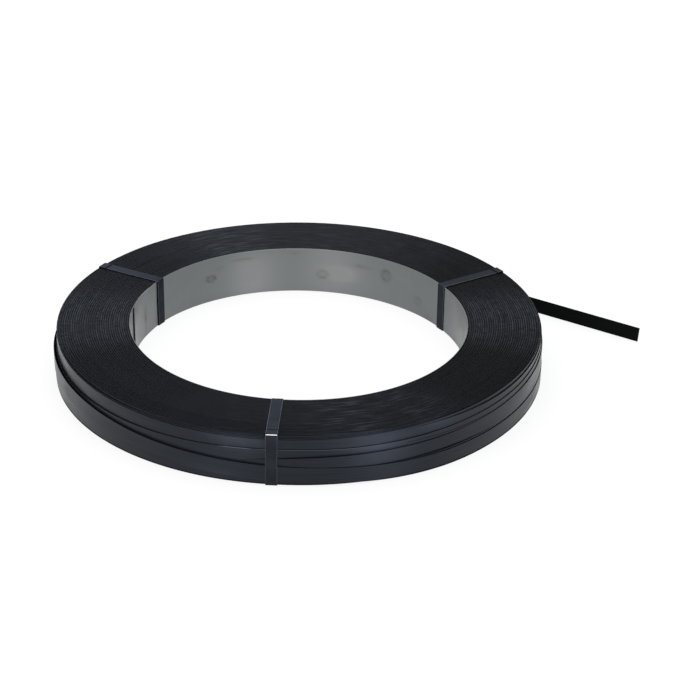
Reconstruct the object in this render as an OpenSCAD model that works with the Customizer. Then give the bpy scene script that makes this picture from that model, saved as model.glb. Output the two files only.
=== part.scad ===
// Coil of steel strapping. One long strap is wound in rows side by side round a rolled
// sheet ring, three short straps tie the turns together, and the strap's free end stands
// straight off the outside. The coil lies flat on its ties.
// Sizes are in millimetres. +Z is up, along the bore. The origin is on the axis of the
// bore, level with the lower end of the winding.

/* [Strap] */
// Width of the strap
strap_w = 19; // [13:0.5:32]
// Thickness of the strap
strap_t = 0.8; // [0.5:0.05:1.2]
// Length of the free end, from where it leaves the coil
tail_len = 310; // [60:1:600]
// Direction in which the free end leaves the coil, as seen from the axis
tail_az = 55; // [45:1:80]
// Lean of the cut at the free end, from square
tail_lean = 4; // [0:1:30]

/* [Winding] */
// How many rows of strap lie side by side
rows = 3; // [2:1:4]
// Gap between rows
row_gap = 1.4; // [0.4:0.05:2]
// Radial build of the winding
build = 85.6; // [40:0.1:120]
// Radial width of each ring of turns that shows on the ends
ring_w = 3.5; // [2.5:0.1:8]
// Width of the groove between two rings
groove_w = 0.7; // [0.3:0.1:1.5]
// Depth of the groove between two rings
groove_d = 0.9; // [0.3:0.1:2]
// How unevenly the rings stand out of the ends
ring_wander = 0.6; // [0.1:0.1:1.5]
// How many of the outermost turns have slipped down from the top end
slipped_turns = 5; // [1:1:8]
// How far the last of them has slipped
slip = 2.6; // [0.5:0.1:6]
// How far the last turns of the lower rows stand off at most
stand_off = 4.6; // [0.6:0.1:8]
// Direction in which they stand off most
stand_off_az = 163; // [140:1:190]
// How far round, to either side of that, they stand off
stand_off_reach = 100; // [60:1:140]
// How far the upper row is pressed in at most
press_in = 3.5; // [0.6:0.1:6]
// Direction in which it is pressed in most
press_in_az = -2; // [-20:1:20]
// How far round, to either side of that, it is pressed in
press_in_reach = 42; // [20:1:60]

/* [Seams of the last turns] */
// Width of a seam between two rows
seam_w = 1.2; // [0.5:0.1:3]
// How far the last turn climbs from the lower end before it comes back down
last_climb = 16; // [2:1:18]
// Direction in which the last turn reaches the lower end again
last_down_az = 290; // [230:5:330]
// Height of the upper seam over the second row, half way up its slope
upper_lift = 6; // [0:0.5:8]
// How far the upper seam rises from its lowest point to its highest
upper_climb = 16; // [0:1:18]
// Direction in which the upper seam is highest
upper_high_az = 30; // [0:5:90]
// How far the middle seam lies below the upper one
middle_drop = 8.5; // [4:0.5:12]

/* [Core ring] */
// Diameter of the bore
bore_d = 406; // [300:1:508]
// Thickness of the ring's sheet
core_t = 0.8; // [0.5:0.05:1.5]
// Clearance between the ring and the innermost turn
core_clear = 0.3; // [0.1:0.05:1]
// How far the two ends of the ring's sheet lap
core_lap = 30; // [10:1:60]
// Direction of the lap
core_lap_az = 177; // [170:1:190]

/* [Ties] */
// Width of a tie
tie_w = 13; // [10:0.5:19]
// Thickness of a tie
tie_t = 0.5; // [0.4:0.05:0.8]
// Clearance between a tie and what it holds
tie_clear = 0.2; // [0.1:0.05:0.3]
// Direction of the front tie
tie_front_az = -96.5; // [-110:0.5:-80]
// Direction of the left tie
tie_left_az = 148.5; // [130:0.5:160]
// Direction of the right tie
tie_right_az = 29; // [15:0.5:35]
// How far the lap of a tie reaches in over the top, from the outside of the coil
tie_lap_in = 13; // [8:1:40]
// How far the lap of a tie reaches down the outside
tie_lap_down = 28; // [10:1:35]

/* [Hidden] */
$fn = 180;

coil_h = rows * strap_w + (rows - 1) * row_gap;
row_pitch = strap_w + row_gap;
bore_r = bore_d / 2;
coil_ri = bore_r + core_t + core_clear;
coil_ro = coil_ri + build;
far = 2 * coil_ro;

// The free end lies this little outside the last turn and below its seam.
hair = 0.05;

// The outermost turns stand in small steps, down to the last one.
slip_ri = coil_ro - slipped_turns * strap_t;
edge_h = coil_h - slip;
ring_count = round((slip_ri - coil_ri) / ring_w);
ring_pitch = (slip_ri - coil_ri) / ring_count;
golden_turn = 137.5;

// Slope of a seam that is highest at one side of the coil
last_mid_az = (tail_az + last_down_az) / 2;
last_cos = cos((last_down_az - tail_az) / 2);
last_swing = last_climb / (1 - last_cos);
last_seam_z = strap_w + hair + seam_w / 2;
upper_z = 2 * row_pitch + upper_lift;
middle_z = upper_z - middle_drop;
upper_swing = upper_climb / 2;

// A circle that meets the coil's own at both ends of its reach, and stands off from it
// or cuts into it by the given amount half way between
stand_off_shift = stand_off / (1 - cos(stand_off_reach));
stand_off_r = coil_ro + stand_off - stand_off_shift;
press_in_shift = press_in / (1 - cos(press_in_reach));
press_in_r = coil_ro - press_in + press_in_shift;

// The bend that still clears a square corner
bend_r = 0.9 * tie_clear / (sqrt(2) - 1);
bend_step = 25;
tie_seat_x = sqrt(pow(bore_r, 2) - pow(tie_w / 2, 2));
least_ledge = 1.5 * tie_clear;

// How far a ring stands back from its end, from 0 to the whole of ring_wander
function stand_back(ring, phase) = ring_wander * (0.5 - 0.5 * cos(golden_turn * ring + phase));
function ring_start(ring) = coil_ri + ring * ring_pitch;

// One half of the winding, cut through the axis, with the rings' grooves on both ends
function lower_rings() = [
    for (ring = [0 : ring_count - 1])
        let (z = stand_back(ring, 90),
             a = ring_start(ring) + (ring > 0 ? groove_w / 2 : 0),
             b = ring_start(ring + 1) - (ring < ring_count - 1 ? groove_w / 2 : 0))
        each ring > 0 ? [[ring_start(ring), z + groove_d], [a, z], [b, z]] : [[a, z], [b, z]]];
function upper_rings() = [
    for (ring = [ring_count - 1 : -1 : 0])
        let (z = coil_h - stand_back(ring, 0),
             a = ring_start(ring) + (ring > 0 ? groove_w / 2 : 0),
             b = ring_start(ring + 1) - groove_w / 2)
        each [[ring_start(ring + 1), z - groove_d], [b, z], [a, z]]];
function slipped() = [
    for (turn = [slipped_turns : -1 : 1])
        let (z = coil_h - slip * turn / slipped_turns)
        each [[slip_ri + turn * strap_t, z], [slip_ri + (turn - 1) * strap_t, z]]];

module winding() {
    rotate_extrude()
        polygon(concat(lower_rings(), [[slip_ri, 0], [coil_ro, 0]], slipped(), upper_rings()));
}

// A slice of the coil's surroundings between two directions
module sector(from, to) {
    step = 15;
    translate([0, 0, -far / 2])
        linear_extrude(far)
            polygon(concat([[0, 0]],
                [for (a = [from : step : to - 0.01]) far * [cos(a), sin(a)]],
                [far * [cos(to), sin(to)]]));
}

// Stands what follows on the leaning plane of a seam
module on_seam(mid_z, swing, high_az) {
    translate([0, 0, mid_z])
        rotate([0, 0, high_az])
            rotate([0, -atan(swing / coil_ro), 0])
                children();
}

// The slot that a seam leaves in the outermost turn, on a plane that leans
module seam_slot(mid_z, swing, high_az) {
    difference() {
        on_seam(mid_z, swing, high_az)
            cylinder(r = coil_ro + 2 * strap_w, h = seam_w, center = true);
        translate([0, 0, -coil_h])
            cylinder(r = coil_ro - strap_t, h = 3 * coil_h);
    }
}

// The seams: over the last turn while it climbs, over it while it lies flat, the upper
// one all the way round, and the middle one between the front tie and the right tie.
module seams() {
    intersection() {
        seam_slot(last_seam_z - last_swing * last_cos, last_swing, last_mid_az);
        sector(tail_az, last_down_az);
    }
    intersection() {
        seam_slot(last_seam_z, 0, 0);
        sector(last_down_az, tail_az + 360);
    }
    seam_slot(upper_z, upper_swing, upper_high_az);
    intersection() {
        seam_slot(middle_z, upper_swing, upper_high_az);
        sector(tie_front_az, tie_right_az);
    }
}

// The last turns of the lower rows, where they stand off. They end at the upper seam.
module standing_turns() {
    difference() {
        translate([stand_off_shift * cos(stand_off_az), stand_off_shift * sin(stand_off_az), 0])
            cylinder(r = stand_off_r, h = coil_h);
        on_seam(upper_z, upper_swing, upper_high_az)
            cylinder(r = far, h = far);
        translate([0, 0, -coil_h])
            cylinder(r = slip_ri, h = 3 * coil_h);
    }
}

// What the upper row lacks where it is pressed in. That starts at the middle seam.
module pressed_in() {
    difference() {
        on_seam(middle_z, upper_swing, upper_high_az)
            cylinder(r = far, h = far);
        rotate([0, 0, press_in_az])
            translate([-press_in_shift, 0, -far])
                cylinder(r = press_in_r, h = 3 * far);
    }
}

// The free end, standing on edge, straight on from the last turn
module tail() {
    lean = strap_w * tan(tail_lean);
    rotate([0, 0, tail_az])
        translate([coil_ro - strap_t + hair, 0, 0])
            rotate([90, 0, 90])
                linear_extrude(strap_t)
                    polygon([[0, 0], [0, strap_w], [-tail_len, strap_w], [lean - tail_len, 0]]);
}

module strap_coil() {
    color("#2b2d33")
    union() {
        difference() {
            union() {
                winding();
                standing_turns();
            }
            seams();
            pressed_in();
        }
        tail();
    }
}

// The ring of bare sheet that the strap is wound on, rolled, with one end lapped inside
module core_ring() {
    lap_angle = core_lap / bore_r * 180 / PI;
    color("#8b8c8c") {
        difference() {
            cylinder(r = bore_r + core_t, h = coil_h);
            translate([0, 0, -coil_h])
                cylinder(r = bore_r, h = 3 * coil_h);
        }
        rotate([0, 0, core_lap_az - lap_angle / 2])
            rotate_extrude(angle = lap_angle)
                translate([bore_r - core_t, 0])
                    square([1.5 * core_t, coil_h]);
    }
}

// Where a circle that is shifted from the axis is met in a given direction
function circle_at(r, shift, turn) = shift * cos(turn) + sqrt(pow(r, 2) - pow(shift * sin(turn), 2));
function low_r(az) = max(coil_ro, circle_at(stand_off_r, stand_off_shift, az - stand_off_az));
function high_r(az) = min(coil_ro, circle_at(press_in_r, -press_in_shift, az - press_in_az));
function seam_at(az, mid_z) = mid_z + upper_swing * cos(az - upper_high_az);
function ledge_z(az) = seam_at(az, low_r(az) > coil_ro ? upper_z : middle_z);
function edge_z(r) = coil_h - slip * (r - slip_ri) / (coil_ro - slip_ri);

// The corners of what a tie goes round, in the order that it takes: along the underside,
// up the outside, over the ledge if there is one, over the slipped turns, along the top
// and down the bore
function tie_corners(az) = [
    [tie_seat_x, 0],
    [low_r(az), 0],
    each low_r(az) - high_r(az) > least_ledge ? [[low_r(az), ledge_z(az)]] : [],
    [high_r(az), edge_z(high_r(az))],
    [slip_ri, coil_h],
    [tie_seat_x, coil_h]];

function outward(a, b) = let (along = (b - a) / norm(b - a)) [along[1], -along[0]];
function moved(corner, n1, n2, d) = corner + d * (n1 + n2) / (1 + n1 * n2);

// The outline of a tie at a distance d from its corners, with a bend at each corner
function tie_outline(corners, d) = [
    for (i = [0 : len(corners) - 1])
        let (count = len(corners),
             corner = corners[i],
             n1 = outward(corners[(i + count - 1) % count], corner),
             n2 = outward(corner, corners[(i + 1) % count]),
             start = atan2(n1[1], n1[0]),
             turn = acos(n1 * n2),
             steps = ceil(turn / bend_step))
        for (k = [0 : steps])
            let (a = start + turn * k / steps)
            moved(corner, n1, n2, -bend_r) + (bend_r + d) * [cos(a), sin(a)]];

module tie_layer(corners, inner, outer) {
    difference() {
        polygon(tie_outline(corners, outer));
        polygon(tie_outline(corners, inner));
    }
}

module tie(az) {
    corners = tie_corners(az);
    rotate([0, 0, az])
        rotate([90, 0, 0])
            translate([0, 0, -tie_w / 2])
                linear_extrude(tie_w) {
                    tie_layer(corners, tie_clear, tie_clear + tie_t);
                    intersection() {
                        tie_layer(corners, tie_clear + tie_t, tie_clear + 2 * tie_t);
                        translate([coil_ro - tie_lap_in, edge_h - tie_lap_down])
                            square(far);
                    }
                }
}

module tie_front() { color("#3a3d45") tie(tie_front_az); }
module tie_left() { color("#3a3d45") tie(tie_left_az); }
module tie_right() { color("#3a3d45") tie(tie_right_az); }

strap_coil();
core_ring();
tie_front();
tie_left();
tie_right();
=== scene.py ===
import math

import bpy
import numpy as np
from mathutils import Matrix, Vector


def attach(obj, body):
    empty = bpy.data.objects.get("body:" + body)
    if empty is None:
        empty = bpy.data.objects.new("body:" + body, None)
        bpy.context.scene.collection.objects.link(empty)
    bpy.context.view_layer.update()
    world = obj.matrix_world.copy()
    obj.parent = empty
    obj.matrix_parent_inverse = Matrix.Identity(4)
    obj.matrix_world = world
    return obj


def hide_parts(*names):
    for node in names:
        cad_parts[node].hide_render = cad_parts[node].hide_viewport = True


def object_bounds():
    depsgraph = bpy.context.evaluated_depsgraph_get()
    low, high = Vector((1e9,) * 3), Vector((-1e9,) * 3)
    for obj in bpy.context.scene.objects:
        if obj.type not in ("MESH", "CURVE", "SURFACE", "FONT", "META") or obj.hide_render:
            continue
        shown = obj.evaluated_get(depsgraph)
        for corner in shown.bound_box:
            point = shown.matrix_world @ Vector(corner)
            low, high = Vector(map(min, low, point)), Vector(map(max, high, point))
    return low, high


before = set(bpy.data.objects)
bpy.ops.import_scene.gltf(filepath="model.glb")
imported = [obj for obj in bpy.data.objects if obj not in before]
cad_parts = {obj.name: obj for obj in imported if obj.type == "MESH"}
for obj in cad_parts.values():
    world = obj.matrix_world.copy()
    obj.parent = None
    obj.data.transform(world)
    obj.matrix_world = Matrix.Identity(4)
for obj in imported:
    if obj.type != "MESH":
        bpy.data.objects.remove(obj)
cad_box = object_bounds()
scene = bpy.context.scene
scene.view_settings.view_transform = "Standard"


# ---- The studio ---------------------------------------------------------------------------
# The coil lies on white seamless paper under large soft lamps. Paper and background show
# white to the camera and in gloss, and light the steel only plainly.

def linear(hex_colour):
    parts = [int(hex_colour[i:i + 2], 16) / 255 for i in (1, 3, 5)]
    parts = [c / 12.92 if c <= 0.04045 else ((c + 0.055) / 1.055) ** 2.4 for c in parts]
    return (*parts, 1.0)


def add(tree, kind, settings=None, inputs=None):
    """Adds a node with its settings. An input takes a value, or an output to link."""
    made = tree.nodes.new(kind)
    for name, value in (settings or {}).items():
        setattr(made, name, value)
    for key, value in (inputs or {}).items():
        if isinstance(value, bpy.types.NodeSocket):
            tree.links.new(value, made.inputs[key])
        else:
            made.inputs[key].default_value = value
    return made


def new_material(name):
    material = bpy.data.materials.new(name)
    material.use_nodes = True
    material.node_tree.nodes.clear()
    return material, material.node_tree


def seen_directly(tree):
    """1 for rays from the camera, in gloss and through glass, 0 for plain light."""
    path = add(tree, "ShaderNodeLightPath")
    seen = path.outputs["Is Camera Ray"]
    for ray in ("Is Glossy Ray", "Is Transmission Ray"):
        seen = add(tree, "ShaderNodeMath", {"operation": "MAXIMUM"},
                   {0: seen, 1: path.outputs[ray]}).outputs[0]
    return seen


world = bpy.data.worlds.new("white_studio")
scene.world = world
world.use_nodes = True
sky = world.node_tree
sky.nodes.clear()
sky_plain = add(sky, "ShaderNodeBackground", inputs={"Color": linear("#ffffff"), "Strength": 0.5})
sky_shown = add(sky, "ShaderNodeBackground", inputs={"Color": linear("#ffffff"), "Strength": 1.0})
sky_mix = add(sky, "ShaderNodeMixShader",
              inputs={0: seen_directly(sky), 1: sky_plain.outputs[0], 2: sky_shown.outputs[0]})
add(sky, "ShaderNodeOutputWorld", inputs={"Surface": sky_mix.outputs[0]})

# Seamless paper: seen as white, it still takes the coil's faint shadow.
paper, tree = new_material("seamless_paper_white")
lit = add(tree, "ShaderNodeBsdfDiffuse", inputs={"Color": linear("#dedede")})
faint = add(tree, "ShaderNodeBsdfDiffuse", inputs={"Color": linear("#7d7d7d")})
glow = add(tree, "ShaderNodeEmission", inputs={"Color": linear("#ffffff"), "Strength": 0.85})
shown = add(tree, "ShaderNodeAddShader", inputs={0: faint.outputs[0], 1: glow.outputs[0]})
mix = add(tree, "ShaderNodeMixShader",
          inputs={0: seen_directly(tree), 1: lit.outputs[0], 2: shown.outputs[0]})
add(tree, "ShaderNodeOutputMaterial", inputs={"Surface": mix.outputs[0]})

paper_half = 8.0
# A hair under the ties, so that the two don't share a plane.
paper_z = cad_box[0][2] - 0.00005
paper_mesh = bpy.data.meshes.new("seamless_paper")
corners = [(x * paper_half, y * paper_half, paper_z) for x,
           y in ((-1, -1), (1, -1), (1, 1), (-1, 1))]
paper_mesh.from_pydata(corners, [], [(0, 1, 2, 3)])
paper_mesh.materials.append(paper)
paper_sheet = bpy.data.objects.new("seamless_paper", paper_mesh)
scene.collection.objects.link(paper_sheet)


def soft_lamp(name, place, aim, size, watts, colour="#ffffff"):
    data = bpy.data.lights.new(name, "AREA")
    data.color = linear(colour)[:3]
    data.shape = "RECTANGLE"
    data.size, data.size_y = size
    data.energy = watts
    lamp = bpy.data.objects.new(name, data)
    scene.collection.objects.link(lamp)
    lamp.location = place
    lamp.rotation_euler = (Vector(aim) - Vector(place)).to_track_quat("-Z", "Y").to_euler()


soft_lamp("overhead_lamp", (0.0, 0.3, 2.6), (0, 0, 0), (2.4, 2.4), 26)
soft_lamp("left_lamp", (-2.4, -0.9, 1.3), (0, 0, 0.03), (1.6, 1.6), 11)
soft_lamp("right_lamp", (2.4, -0.9, 1.3), (0, 0, 0.03), (1.6, 1.6), 9, "#dfe7ff")
soft_lamp("back_lamp", (-0.9, 2.8, 1.05), (-0.05, 0.2, 0.06), (2.2, 0.7), 9, "#d5e2ff")

camera_data = bpy.data.cameras.new("photo_camera")
camera_data.sensor_width = 36
camera_data.lens = 101.2
camera_data.clip_end = 50
camera = bpy.data.objects.new("photo_camera", camera_data)
scene.collection.objects.link(camera)
camera.location = (0.0, -2.1169, 1.0945)
camera.rotation_euler = [math.radians(a) for a in (63.036, -0.878, -1.174)]
scene.camera = camera


# ---- The wound rows -----------------------------------------------------------------------
# One long steel strap is wound flat on itself in three rows, each about a hundred turns
# deep. It is cold-rolled, slit, painted black and waxed, and held by the three ties.

MM = 0.001
STRAP_W, STRAP_T = 19 * MM, 0.8 * MM
COIL_H = 59.8 * MM
COIL_R = 289.7 * MM
WOUND_RI = 204.1 * MM
WOUND_RO = COIL_R - 0.9 * MM
TURNS = 96
TURN_PITCH = (WOUND_RO - WOUND_RI) / TURNS
# Directions in degrees: where the free end leaves, and the one that the right tie covers
LEAVES_AT = 55
UNDER_RIGHT_TIE = 29.2
# The winding lies a little off centre, away from the side on which the free end leaves. Its
# inner turns are pressed out of round, narrower in one direction and wider across that.
OFF_CENTRE = (-1.4 * MM, 2.1 * MM)
INNER_OFF_CENTRE = (-1.9 * MM, -0.6 * MM)
NARROW_AT = 19
OUT_OF_ROUND = 2.0 / 203
# Towards the front left the top row's turns have slipped down: a little over the last
# thirty, and more over the last three. It shows over half of the coil, and 5 degrees past
# that on both sides, and fades out.
SLIPS_AT = -112
SLIP, DISH = 4.2, 2.2
SLIP_PAST = 0.087


def slip_share(way):
    """How much of the slip shows in a direction in degrees, from 0 to 1."""
    return max(0.0, (math.cos(math.radians(way - SLIPS_AT)) + SLIP_PAST) / (1 + SLIP_PAST)) ** 2


# Black paint over cold-rolled steel, waxed: satin, with fine streaks along the strap from
# rolling and paying off and a rubbed upper edge. Its lighter bluish patches are painted
# highlights, and its darkened foot is a painted contact shadow.
strap_paint, tree = new_material("black_paint_waxed_on_rolled_steel")
place = add(tree, "ShaderNodeTexCoord").outputs["Object"]
# Streaks 0.7 mm wide across the strap and 60 mm long.
along = add(tree, "ShaderNodeMapping", inputs={"Vector": place, "Scale": (16, 16, 1400)})
streaks = add(tree, "ShaderNodeTexNoise",
              inputs={"Vector": along.outputs[0], "Scale": 1.0, "Detail": 3.0, "Roughness": 0.6})
# Rubs and uneven wax, about 45 mm long and 14 mm wide.
rub_place = add(tree, "ShaderNodeMapping", inputs={"Vector": place, "Scale": (22, 22, 70)})
rubs = add(tree, "ShaderNodeTexNoise",
           inputs={"Vector": rub_place.outputs[0], "Scale": 1.0, "Detail": 4.0, "Roughness": 0.55})
streak_ramp = add(tree, "ShaderNodeMapRange",
                  inputs={"Value": streaks.outputs[0], "From Min": 0.3, "From Max": 0.7})
paint_mix = add(tree, "ShaderNodeMix", {"data_type": "RGBA"},
                {"Factor": streak_ramp.outputs[0], "A": linear("#1c1e22"), "B": linear("#2c2f34")})
# Painted highlights: lighter bluish patches of colour, stored per point of the mesh.
painted_highlight = add(tree, "ShaderNodeAttribute", {"attribute_name": "painted_highlight"}).outputs["Fac"]
rub_ramp = add(tree, "ShaderNodeMapRange", inputs={
    "Value": rubs.outputs[0], "From Min": 0.25, "From Max": 0.75, "To Min": 0.75, "To Max": 1.25})
painted_highlight = add(tree, "ShaderNodeMath", {"operation": "MULTIPLY"},
           {0: painted_highlight, 1: rub_ramp.outputs[0]}).outputs[0]
paint_mix = add(tree, "ShaderNodeMix", {"data_type": "RGBA"},
                {"Factor": painted_highlight, "A": paint_mix.outputs["Result"], "B": linear("#7a8396")})
across = add(tree, "ShaderNodeAttribute", {"attribute_name": "across"}).outputs["Fac"]
rub_here = add(tree, "ShaderNodeAttribute", {"attribute_name": "rubbed"}).outputs["Fac"]
# The rubbed line takes the strap's uppermost 0.8 mm.
rub_line = add(tree, "ShaderNodeMapRange",
               inputs={"Value": across, "From Min": 0.94, "From Max": 0.96})
rub_line = add(tree, "ShaderNodeMath", {"operation": "MULTIPLY"},
               {0: rub_line.outputs[0], 1: rub_here}).outputs[0]
paint_mix = add(tree, "ShaderNodeMix", {"data_type": "RGBA"},
                {"Factor": rub_line, "A": paint_mix.outputs["Result"], "B": linear("#6d7480")})
# Painted contact shadow: near black over the lowest 2.6 mm, where the coil meets the paper.
height_here = add(tree, "ShaderNodeSeparateXYZ", inputs={0: place}).outputs[2]
painted_contact_shadow = add(tree, "ShaderNodeMapRange", inputs={
    "Value": height_here, "From Min": 0.6 * MM, "From Max": 2.6 * MM, "To Min": 1.0, "To Max": 0.0})
paint_mix = add(tree, "ShaderNodeMix", {"data_type": "RGBA"}, {
    "Factor": painted_contact_shadow.outputs[0], "A": paint_mix.outputs["Result"], "B": linear("#050607")})
gloss_range = add(tree, "ShaderNodeMapRange", inputs={
    "Value": rubs.outputs[0], "From Min": 0.3, "From Max": 0.7, "To Min": 0.25, "To Max": 0.40})
# The painted contact shadow is dull too.
gloss = add(tree, "ShaderNodeMath", {"operation": "MAXIMUM"},
            {0: gloss_range.outputs[0], 1: painted_contact_shadow.outputs[0]})
paint_bump = add(tree, "ShaderNodeBump",
                 inputs={"Strength": 0.25, "Distance": 0.05 * MM, "Height": streaks.outputs[0]})
shader = add(tree, "ShaderNodeBsdfPrincipled", inputs={
    "Base Color": paint_mix.outputs["Result"], "Roughness": gloss.outputs[0],
    "Specular IOR Level": 0.22, "Specular Tint": linear("#dde8ff"),
    "Normal": paint_bump.outputs[0]})
add(tree, "ShaderNodeOutputMaterial", inputs={"Surface": shader.outputs[0]})

# The slit edges of the strap: sheared steel under thin paint, dull and a little uneven.
strap_edge, tree = new_material("slit_edge_thin_black_paint")
place = add(tree, "ShaderNodeTexCoord").outputs["Object"]
# Shear marks 6 mm across and finer, stronger and weaker in blotches about 70 mm across.
marks = add(tree, "ShaderNodeTexNoise",
            inputs={"Vector": place, "Scale": 160.0, "Detail": 5.0, "Roughness": 0.65})
blotches = add(tree, "ShaderNodeTexNoise",
               inputs={"Vector": place, "Scale": 14.0, "Detail": 3.0, "Roughness": 0.5})
both = add(tree, "ShaderNodeMath", {"operation": "MULTIPLY"},
           {0: marks.outputs[0], 1: blotches.outputs[0]})
tone = add(tree, "ShaderNodeMapRange",
           inputs={"Value": both.outputs[0], "From Min": 0.12, "From Max": 0.42})
edge_mix = add(tree, "ShaderNodeMix", {"data_type": "RGBA"},
               {"Factor": tone.outputs[0], "A": linear("#050607"), "B": linear("#0c0e10")})
# Painted highlight streaks that follow the turns, about 2 mm wide and 25 mm to 36 mm long, in
# patches
split = add(tree, "ShaderNodeSeparateXYZ", inputs={0: place})
way_round = add(tree, "ShaderNodeMath", {"operation": "ARCTAN2"},
                {0: split.outputs[1], 1: split.outputs[0]})
flat = add(tree, "ShaderNodeVectorMath", {"operation": "MULTIPLY"}, {0: place, 1: (1, 1, 0)})
from_axis = add(tree, "ShaderNodeVectorMath", {"operation": "LENGTH"}, {0: flat.outputs[0]})
polar = add(tree, "ShaderNodeCombineXYZ",
            inputs={0: way_round.outputs[0], 1: from_axis.outputs["Value"]})
polar = add(tree, "ShaderNodeMapping", inputs={"Vector": polar.outputs[0], "Scale": (8, 420, 1)})
streaks = add(tree, "ShaderNodeTexNoise",
              inputs={"Vector": polar.outputs[0], "Scale": 1.0, "Detail": 2.0, "Roughness": 0.5})
streaks = add(tree, "ShaderNodeMapRange",
              inputs={"Value": streaks.outputs[0], "From Min": 0.48, "From Max": 0.72})
top_painted_highlight = add(tree, "ShaderNodeAttribute", {"attribute_name": "painted_highlight"}).outputs["Fac"]
streaks = add(tree, "ShaderNodeMath", {"operation": "MULTIPLY"},
              {0: streaks.outputs[0], 1: top_painted_highlight})
# Painted highlight on both flanks: one of every three turns is drawn lighter and the next one
# hardly, each in its own degree, as if catching the side light. The mesh says which turn is which.
turn_here = add(tree, "ShaderNodeAttribute", {"attribute_name": "turn"}).outputs["Fac"]
whole_turn = add(tree, "ShaderNodeMath", {"operation": "FLOOR"}, {0: turn_here})
in_group = add(tree, "ShaderNodeMath", {"operation": "MODULO"}, {0: whole_turn.outputs[0], 1: 3.0})
first = add(tree, "ShaderNodeMath", {"operation": "COMPARE"},
            {0: in_group.outputs[0], 1: 1.0, 2: 0.1})
second = add(tree, "ShaderNodeMath", {"operation": "COMPARE"},
             {0: in_group.outputs[0], 1: 2.0, 2: 0.1})
ring_line = add(tree, "ShaderNodeMath", {"operation": "MULTIPLY_ADD"},
                {0: second.outputs[0], 1: 0.1, 2: first.outputs[0]})
own_degree = add(tree, "ShaderNodeTexWhiteNoise", {"noise_dimensions": "1D"},
                 {"W": whole_turn.outputs[0]})
own_degree = add(tree, "ShaderNodeMapRange",
                 inputs={"Value": own_degree.outputs[0], "To Min": 0.3, "To Max": 1.0})
ring_line = add(tree, "ShaderNodeMath", {"operation": "MULTIPLY"},
                {0: ring_line.outputs[0], 1: own_degree.outputs[0]})
sideways = add(tree, "ShaderNodeMath", {"operation": "DIVIDE"},
               {0: split.outputs[0], 1: from_axis.outputs["Value"]})
sideways = add(tree, "ShaderNodeMath", {"operation": "ABSOLUTE"}, {0: sideways.outputs[0]})
flank_highlight_reach = add(tree, "ShaderNodeMapRange", {"interpolation_type": "SMOOTHSTEP"},
            {"Value": sideways.outputs[0], "From Min": 0.92, "From Max": 0.998, "To Max": 0.55})
uneven = add(tree, "ShaderNodeMapRange", inputs={
    "Value": marks.outputs[0], "From Min": 0.38, "From Max": 0.6, "To Min": 0.15, "To Max": 1.0})
painted_ring_highlight = add(tree, "ShaderNodeMath", {"operation": "MULTIPLY"},
            {0: ring_line.outputs[0], 1: flank_highlight_reach.outputs[0]})
painted_ring_highlight = add(tree, "ShaderNodeMath", {"operation": "MULTIPLY"},
            {0: painted_ring_highlight.outputs[0], 1: uneven.outputs[0]})
streaks = add(tree, "ShaderNodeMath", {"operation": "MAXIMUM"},
              {0: streaks.outputs[0], 1: painted_ring_highlight.outputs[0]})
# The lighter colour is the painted highlight of the top streaks and of the flank rings.
edge_mix = add(tree, "ShaderNodeMix", {"data_type": "RGBA"}, {
    "Factor": streaks.outputs[0], "A": edge_mix.outputs["Result"], "B": linear("#5d636e")})
edge_bump = add(tree, "ShaderNodeBump",
                inputs={"Strength": 0.4, "Distance": 0.1 * MM, "Height": marks.outputs[0]})
shader = add(tree, "ShaderNodeBsdfPrincipled", inputs={
    "Base Color": edge_mix.outputs["Result"], "Roughness": 0.45, "Specular IOR Level": 0.03,
    "Specular Tint": linear("#d3e0ff"), "Normal": edge_bump.outputs[0]})
add(tree, "ShaderNodeOutputMaterial", inputs={"Surface": shader.outputs[0]})


def new_shape_tree(name, sockets):
    tree = bpy.data.node_groups.new(name, "GeometryNodeTree")
    tree.interface.new_socket("Geometry", in_out="OUTPUT", socket_type="NodeSocketGeometry")
    for label, kind in sockets:
        tree.interface.new_socket(label, in_out="INPUT", socket_type="NodeSocket" + kind)
    return tree, tree.nodes.new("NodeGroupInput").outputs


def finish_strap(tree, geometry, face, inner, edge):
    """Smooth faces, then one material for the outside, one for the inside, one for the edges."""
    smooth = add(tree, "GeometryNodeSetShadeSmooth", inputs={"Geometry": geometry}).outputs[0]
    real = add(tree, "GeometryNodeRealizeInstances", inputs={0: smooth}).outputs[0]
    normal = add(tree, "GeometryNodeInputNormal").outputs[0]
    position = add(tree, "GeometryNodeInputPosition").outputs[0]
    flat = add(tree, "ShaderNodeVectorMath", {"operation": "MULTIPLY"}, {0: position, 1: (1, 1, 0)})
    outwards = add(tree, "ShaderNodeVectorMath", {"operation": "DOT_PRODUCT"},
                   {0: normal, 1: flat.outputs[0]}).outputs["Value"]
    split = add(tree, "ShaderNodeSeparateXYZ", inputs={0: normal})
    upright = add(tree, "ShaderNodeMath", {"operation": "ABSOLUTE"},
                  {0: split.outputs[2]}).outputs[0]
    is_inner = add(tree, "ShaderNodeMath", {"operation": "LESS_THAN"}, {0: outwards, 1: 0.0})
    is_edge = add(tree, "ShaderNodeMath", {"operation": "GREATER_THAN"}, {0: upright, 1: 0.5})
    made = add(tree, "GeometryNodeSetMaterial", inputs={"Geometry": real, "Material": face})
    for chosen, material in ((is_inner, inner), (is_edge, edge)):
        made = add(tree, "GeometryNodeSetMaterial", inputs={
            "Geometry": made.outputs[0], "Selection": chosen.outputs[0], "Material": material})
    add(tree, "NodeGroupOutput", inputs={0: made.outputs[0]})


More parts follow.
